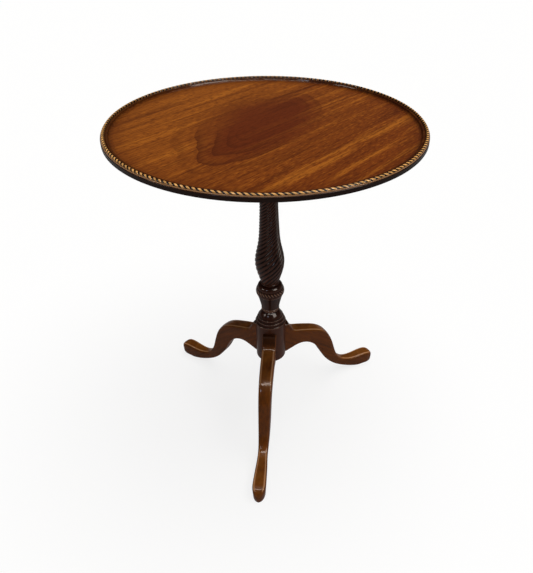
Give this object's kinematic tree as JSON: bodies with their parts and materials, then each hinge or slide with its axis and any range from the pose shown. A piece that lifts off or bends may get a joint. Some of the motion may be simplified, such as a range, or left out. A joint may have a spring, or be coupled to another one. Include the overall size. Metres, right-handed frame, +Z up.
{
  "type": "tray top tea table",
  "caption": "Round dished tea table top with a rope-inlaid rim that tips upright on a turned, spirally reeded tripod pillar with cabriole legs.",
  "frame": {"origin": "on the floor under the pillar's axis", "axes": "+Z up along the pillar; the top tips towards -Y, between leg_left and leg_right; leg_back points along +Y"},
  "size_m": [0.5839, 0.584, 0.711],
  "materials": {
    "top_mahogany": "polished figured mahogany",
    "boxwood": "polished boxwood",
    "ebony": "polished ebony",
    "frame_mahogany": "plain unpolished mahogany",
    "pillar_mahogany": "dark polished mahogany",
    "leg_mahogany": "polished mahogany",
    "pin_hardwood": "bare hardwood",
    "brass": "aged brass",
    "iron": "blackened wrought iron"
  },
  "bodies": {
    "base": {"pillar": "pillar_mahogany", "tenon_wedge": "pin_hardwood", "block": "frame_mahogany", "pivot_pin_left": "pin_hardwood", "pivot_pin_right": "pin_hardwood", "strike_plate": "brass", "strike_screws": "brass", "leg_left": "leg_mahogany", "leg_right": "leg_mahogany", "leg_back": "leg_mahogany", "leg_brace": "iron", "brace_nails": "iron"},
    "top": {"tray_top": "top_mahogany", "rope_inlay_light": "boxwood", "rope_inlay_dark": "ebony", "bearer_left": "frame_mahogany", "bearer_right": "frame_mahogany", "bearer_screws": "iron", "catch_plate": "brass", "catch_case": "brass", "catch_screws": "brass"},
    "catch": {"catch_bolt": "brass", "catch_knob": "brass"}
  },
  "joints": [
    {"name": "top_tilt", "type": "hinge", "parent": "base", "child": "top", "pos_m": [0, -0.057, 0.6757], "axis": [1, 0, 0], "range_deg": [0, 90]},
    {"name": "catch_slide", "type": "slide", "parent": "top", "child": "catch", "axis": [0, -1, 0], "range_m": [0, 0.009]}
  ]
}
